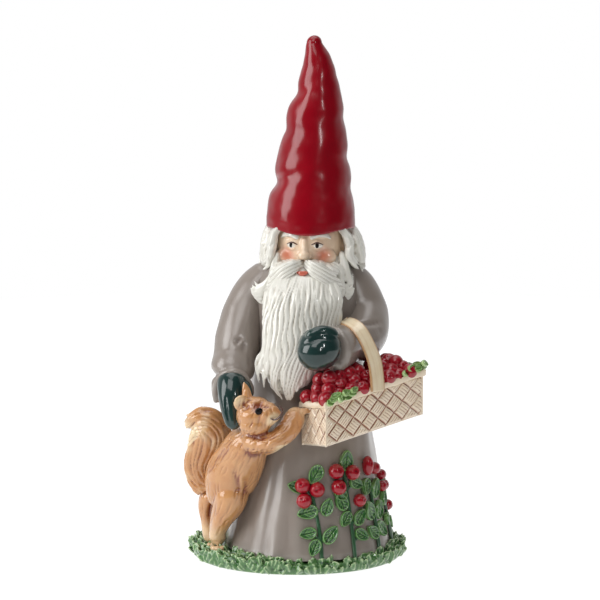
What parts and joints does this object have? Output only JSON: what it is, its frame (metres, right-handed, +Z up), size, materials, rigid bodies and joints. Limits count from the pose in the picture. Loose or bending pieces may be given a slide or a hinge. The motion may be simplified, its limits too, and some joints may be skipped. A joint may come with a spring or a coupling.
{
  "type": "gnome figurine",
  "caption": "Glazed earthenware gnome with a tall red hat, long beard and grey coat, a basket of lingonberries on one arm and a squirrel at the other side.",
  "frame": {"origin": "middle of the whole outline, on the table", "axes": "+Z up, towards the tip of the hat; +X to the right of someone who faces the gnome; +Y away from them"},
  "size_m": [0.1238, 0.1076, 0.2699],
  "materials": {
    "grass": "green glaze with pale tips",
    "coat": "glossy taupe glaze",
    "skin": "glossy skin-coloured glaze",
    "hat": "deep red gloss glaze",
    "hair": "off-white gloss glaze",
    "mitten": "dark green gloss glaze",
    "basket": "cream glaze with brown wash",
    "strap": "cream glaze with brown edges",
    "berry": "red gloss glaze",
    "leaf": "green gloss glaze",
    "fur": "sandy brown glaze with darker strokes"
  },
  "bodies": {
    "root": {"basket_rim": "basket", "basket_strap": "strap", "basket_tub": "basket", "beard": "hair", "beard_curl_left": "hair", "beard_curl_right": "hair", "berries_left": "berry", "berries_right": "berry", "coat": "coat", "eyebrow_left": "hair", "eyebrow_right": "hair", "grass_mound": "grass", "hair_back": "hair", "hair_left": "hair", "hair_right": "hair", "hat": "hat", "head": "skin", "leaves_back": "leaf", "leaves_front": "leaf", "left_mitten": "mitten", "left_sleeve": "coat", "left_thumb": "mitten", "moustache_left": "hair", "moustache_right": "hair", "right_mitten": "mitten", "right_sleeve": "coat", "right_thumb": "mitten", "sprig_a_berry_1": "berry", "sprig_a_berry_2": "berry", "sprig_a_berry_3": "berry", "sprig_a_stem": "leaf", "sprig_b_berry_1": "berry", "sprig_b_berry_2": "berry", "sprig_b_berry_3": "berry", "sprig_b_berry_4": "berry", "sprig_b_stem": "leaf", "sprig_c_berry_1": "berry", "sprig_c_berry_2": "berry", "sprig_c_stem": "leaf", "sprig_d_berry_1": "berry", "sprig_d_berry_2": "berry", "sprig_d_berry_3": "berry", "sprig_d_berry_4": "berry", "sprig_d_stem": "leaf", "squirrel_far_arm": "fur", "squirrel_far_ear": "fur", "squirrel_far_leg": "fur", "squirrel_head": "fur", "squirrel_near_arm": "fur", "squirrel_near_ear": "fur", "squirrel_near_leg": "fur", "squirrel_tail": "fur", "squirrel_torso": "fur"}
  },
  "joints": []
}
